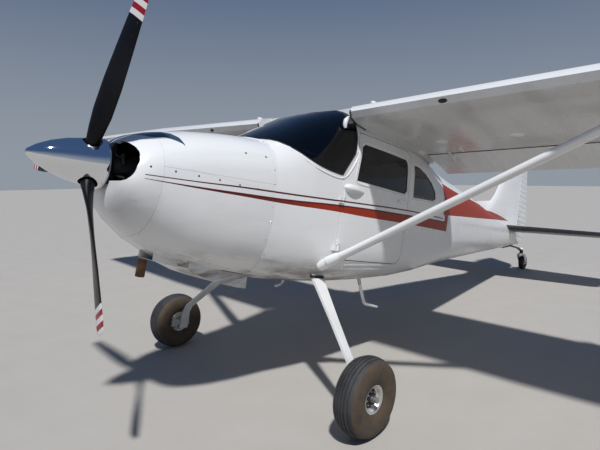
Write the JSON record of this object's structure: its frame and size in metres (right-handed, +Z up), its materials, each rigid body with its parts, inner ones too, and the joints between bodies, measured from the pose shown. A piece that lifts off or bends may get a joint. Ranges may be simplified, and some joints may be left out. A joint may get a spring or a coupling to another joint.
{
  "type": "light aircraft",
  "caption": "High-wing, strut-braced light aircraft on tail-wheel landing gear, with a hollow cabin, opening doors, moving control surfaces, a free-turning propeller and rolling wheels.",
  "frame": {"origin": "on the ground, in the middle of the outline's box, with the aircraft parked on its three wheels", "axes": "+X to the aircraft's left along the wings, +Y aft, +Z up; the nose points along -Y"},
  "size_m": [10.92, 7.8451, 2.6316],
  "materials": {
    "body_paint": "gloss white paint with orange and maroon stripes and a dark anti-glare panel",
    "glass": "dark tinted acrylic",
    "bare_metal": "dull silver metal",
    "polished_metal": "polished metal, mirror bright",
    "dark_metal": "dark painted steel",
    "engine_metal": "rough grey castings",
    "exhaust_metal": "heat-stained brown steel",
    "blade_paint": "near-black satin paint with red and white tip bands",
    "dark_trim": "matt dark plastic",
    "seat_fabric": "woven grey-brown upholstery",
    "tyre": "worn black rubber, brown with dust"
  },
  "bodies": {
    "airframe": {"windshield": "glass", "cabin_roof": "body_paint", "cabin_belly": "body_paint", "cabin_side_left": "body_paint", "cabin_side_right": "body_paint", "rear_window_left": "glass", "rear_window_right": "glass", "firewall": "bare_metal", "baggage_bulkhead": "dark_trim", "instrument_panel": "dark_trim", "front_seat_left_pad": "seat_fabric", "front_seat_left_frame": "dark_metal", "front_seat_right_pad": "seat_fabric", "front_seat_right_frame": "dark_metal", "rear_bench_pad": "seat_fabric", "control_wheel_left": "dark_trim", "control_wheel_right": "dark_trim", "nose_bowl": "body_paint", "cowl_upper": "body_paint", "cowl_lower": "body_paint", "air_scoop": "body_paint", "cowl_flap_left": "body_paint", "cowl_flap_right": "body_paint", "engine": "engine_metal", "exhaust_pipe": "exhaust_metal", "wing_left": "body_paint", "wing_right": "body_paint", "wing_strut_left": "body_paint", "wing_strut_right": "body_paint", "tail_cone": "body_paint", "stabiliser_left": "body_paint", "stabiliser_right": "body_paint", "fin": "body_paint", "gear_leg_left": "body_paint", "gear_leg_right": "body_paint", "axle_left": "bare_metal", "axle_right": "bare_metal", "tail_spring": "dark_metal"},
    "propeller": {"spinner": "polished_metal", "propeller_hub": "bare_metal", "propeller_blade_1": "blade_paint", "propeller_blade_2": "blade_paint", "propeller_blade_3": "blade_paint"},
    "door_left": {"door_left": "body_paint", "door_window_left": "glass"},
    "door_right": {"door_right": "body_paint", "door_window_right": "glass"},
    "flap_left": {"flap_left": "body_paint"},
    "flap_right": {"flap_right": "body_paint"},
    "aileron_left": {"aileron_left": "body_paint"},
    "aileron_right": {"aileron_right": "body_paint"},
    "elevators": {"elevators": "body_paint"},
    "rudder": {"rudder": "body_paint"},
    "main_wheel_left": {"main_tyre_left": "tyre", "main_rim_left": "bare_metal"},
    "main_wheel_right": {"main_tyre_right": "tyre", "main_rim_right": "bare_metal"},
    "tail_fork": {"tail_fork": "bare_metal"},
    "tail_wheel": {"tail_tyre": "tyre", "tail_rim": "bare_metal"}
  },
  "joints": [
    {"name": "propeller_spin", "type": "hinge", "parent": "airframe", "child": "propeller", "pos_m": [0.01326, -2.54757, 1.57008], "axis": [0.014, 0.9862, -0.165], "continuous": true},
    {"name": "door_left_swing", "type": "hinge", "parent": "airframe", "child": "door_left", "pos_m": [0.578, -2.00413, 1.05484], "axis": [0, -0.1822, -0.9833], "range_deg": [0, 70]},
    {"name": "door_right_swing", "type": "hinge", "parent": "airframe", "child": "door_right", "pos_m": [-0.578, -2.00413, 1.05484], "axis": [0, 0.1822, 0.9833], "range_deg": [0, 70]},
    {"name": "flap_left_swing", "type": "hinge", "parent": "airframe", "child": "flap_left", "pos_m": [0.58, -0.63038, 1.78572], "axis": [-0.9995, -0.0055, -0.0297], "range_deg": [-15, 25]},
    {"name": "flap_right_swing", "type": "hinge", "parent": "airframe", "child": "flap_right", "pos_m": [-0.58, -0.63038, 1.78572], "axis": [-0.9995, 0.0055, 0.0297], "range_deg": [-15, 25]},
    {"name": "aileron_left_swing", "type": "hinge", "parent": "airframe", "child": "aileron_left", "pos_m": [2.56, -0.58636, 1.94028], "axis": [0.9952, -0.0763, 0.0605], "range_deg": [-14, 20]},
    {"name": "aileron_right_swing", "type": "hinge", "parent": "airframe", "child": "aileron_right", "pos_m": [-2.56, -0.58636, 1.94028], "axis": [0.9952, 0.0763, -0.0605], "range_deg": [-14, 20]},
    {"name": "elevators_swing", "type": "hinge", "parent": "airframe", "child": "elevators", "pos_m": [0, 3.19972, 0.75143], "axis": [1, 0, 0], "range_deg": [-24, 26]},
    {"name": "rudder_swing", "type": "hinge", "parent": "airframe", "child": "rudder", "pos_m": [0, 3.2574, 0.48648], "axis": [0, 0.1822, 0.9833], "range_deg": [-24, 24]},
    {"name": "main_wheel_left_roll", "type": "hinge", "parent": "airframe", "child": "main_wheel_left", "pos_m": [1.15, -2.402, 0.258], "axis": [1, 0, 0], "continuous": true},
    {"name": "main_wheel_right_roll", "type": "hinge", "parent": "airframe", "child": "main_wheel_right", "pos_m": [-1.15, -2.402, 0.258], "axis": [1, 0, 0], "continuous": true},
    {"name": "tail_fork_swivel", "type": "hinge", "parent": "airframe", "child": "tail_fork", "pos_m": [0, 3.696, 0.288], "axis": [0, 0, 1], "continuous": true},
    {"name": "tail_wheel_roll", "type": "hinge", "parent": "tail_fork", "child": "tail_wheel", "pos_m": [0, 3.788, 0.122], "axis": [1, 0, 0], "continuous": true}
  ],
  "couplings": [
    {"joint": "flap_right_swing", "follows": "flap_left_swing", "ratio": 1},
    {"joint": "aileron_right_swing", "follows": "aileron_left_swing", "ratio": -0.7}
  ]
}
